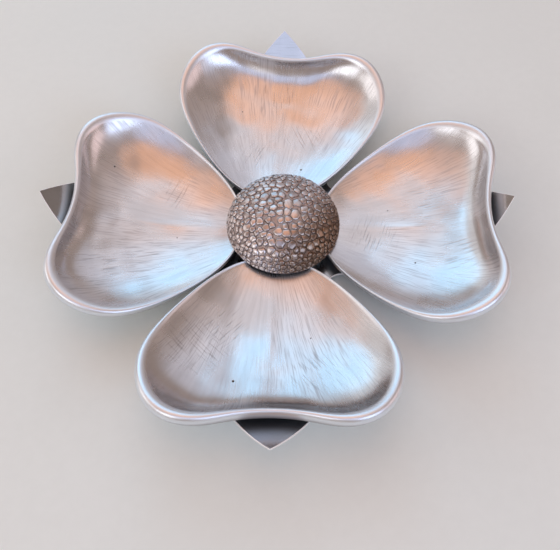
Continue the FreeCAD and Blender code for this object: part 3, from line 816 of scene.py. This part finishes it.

# The sheet's edges are filed to a narrow bevel, which has the second material, painted near-white as a
# highlight.
WELD_DISTANCE = 0.00001
FILED_WIDTH = 0.0007
FILED_ANGLE = 35
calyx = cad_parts["calyx"]
calyx.data.materials.append(filed_edge_highlight)
weld = calyx.modifiers.new("weld", "WELD")
weld.merge_threshold = WELD_DISTANCE
edge = calyx.modifiers.new("filed_edge_highlight", "BEVEL")
edge.width = FILED_WIDTH
edge.segments = 2
edge.limit_method = "ANGLE"
edge.angle_limit = math.radians(FILED_ANGLE)
edge.material = 1
calyx.modifiers.new("normals", "WEIGHTED_NORMAL")

# ---------------------------------------------------------------- floor, lights and camera

FLOOR_REACH = 6
floor_corners = [(-FLOOR_REACH, -FLOOR_REACH, 0), (FLOOR_REACH, -FLOOR_REACH, 0),
                 (FLOOR_REACH, FLOOR_REACH, 0), (-FLOOR_REACH, FLOOR_REACH, 0)]
floor = new_mesh("floor", np.array(floor_corners), [(0, 1, 2, 3)])
pale_floor = plain_metal("pale_floor", (0.80, 0.865, 0.835), (0.83, 0.895, 0.865), 0.5, 0.6, 6.0, 0.0)
floor.data.materials.append(pale_floor)

# Soft panels: azimuth from the right (+X) turning left, elevation, colour, watts.
PANEL_SIZE = (1.15, 1.0)
PANEL_DISTANCE = 2.0
PANELS = (
    (120, 14, (0.80, 0.92, 1.0), 2.0),
    (72, 36, (0.70, 0.80, 1.0), 1.6),
    (108, 36, (0.33, 0.70, 1.0), 4.8),
    (142, 36, (0.90, 0.96, 1.0), 1.6),
    (90, 62, (0.88, 0.90, 1.0), 2.2),
    (155, 60, (1.0, 0.45, 0.25), 1.5),
    (90, 88, (1.0, 0.42, 0.18), 2.7),
    (270, 60, (0.50, 0.66, 1.0), 2.6),
    (180, 25, (1.0, 0.97, 0.97), 4.5),
    (0, 25, (1.0, 0.75, 0.75), 2.8),
    (230, 35, (0.95, 0.96, 1.0), 6.3),
    (310, 35, (0.58, 0.73, 1.0), 8.8),
)


def panel(azimuth, elevation, colour, watts):
    """One soft light panel that faces the object."""
    name = "panel_%d_%d" % (azimuth, elevation)
    light = bpy.data.lights.new(name, "AREA")
    light.shape = "RECTANGLE"
    light.size, light.size_y = PANEL_SIZE
    light.color = colour
    light.energy = watts
    obj = bpy.data.objects.new(name, light)
    a, e = math.radians(azimuth), math.radians(elevation)
    heading = Vector((math.cos(a) * math.cos(e), math.sin(a) * math.cos(e), math.sin(e)))
    obj.location = heading * PANEL_DISTANCE
    obj.rotation_euler = obj.location.to_track_quat("Z", "Y").to_euler()
    obj.visible_camera = False
    bpy.context.scene.collection.objects.link(obj)


for row in PANELS:
    panel(*row)

# A warm surround lights the object. Only the camera sees the pale backdrop in its place.
world = bpy.data.worlds.new("studio")
world.use_nodes = True
nodes, links = world.node_tree.nodes, world.node_tree.links
nodes["Background"].inputs["Color"].default_value = rgb(0.37, 0.278, 0.238)
nodes["Background"].inputs["Strength"].default_value = 1.0
backdrop = nodes.new("ShaderNodeBackground")
backdrop.inputs["Color"].default_value = rgb(0.62, 0.61, 0.60)
mix = nodes.new("ShaderNodeMixShader")
links.new(nodes.new("ShaderNodeLightPath").outputs["Is Camera Ray"], mix.inputs["Fac"])
links.new(nodes["Background"].outputs[0], mix.inputs[1])
links.new(backdrop.outputs[0], mix.inputs[2])
links.new(mix.outputs[0], nodes["World Output"].inputs["Surface"])
bpy.context.scene.world = world
bpy.context.scene.view_settings.view_transform = "Standard"

CAMERA_TARGET = Vector((0.0008, -0.0031, 0.0060))
CAMERA_DISTANCE = 0.4405
CAMERA_ELEVATION, CAMERA_AZIMUTH, CAMERA_ROLL = (math.radians(x) for x in (59.77, 1.93, -0.33))
SENSOR_WIDTH_MM, LENS_MM = 36.0, 39.285
CAMERA_SHIFT_Y = -0.07
NEAREST_SEEN = 0.01


def photo_camera():
    """The camera fitted to the object's outlines."""
    back = Vector((math.sin(CAMERA_AZIMUTH) * math.cos(CAMERA_ELEVATION),
                   -math.cos(CAMERA_AZIMUTH) * math.cos(CAMERA_ELEVATION), math.sin(CAMERA_ELEVATION)))
    right = Vector((math.cos(CAMERA_AZIMUTH), math.sin(CAMERA_AZIMUTH), 0))
    up = back.cross(right)
    c, s = math.cos(CAMERA_ROLL), math.sin(CAMERA_ROLL)
    rolled_right, rolled_up = right * c + up * s, up * c - right * s
    data = bpy.data.cameras.new("camera")
    data.sensor_width = SENSOR_WIDTH_MM
    data.lens = LENS_MM
    data.shift_y = CAMERA_SHIFT_Y
    data.clip_start = NEAREST_SEEN
    camera = bpy.data.objects.new("camera", data)
    turn = Matrix((rolled_right, rolled_up, back)).transposed().to_4x4()
    camera.matrix_world = Matrix.Translation(CAMERA_TARGET + back * CAMERA_DISTANCE) @ turn
    bpy.context.scene.collection.objects.link(camera)
    bpy.context.scene.camera = camera


photo_camera()
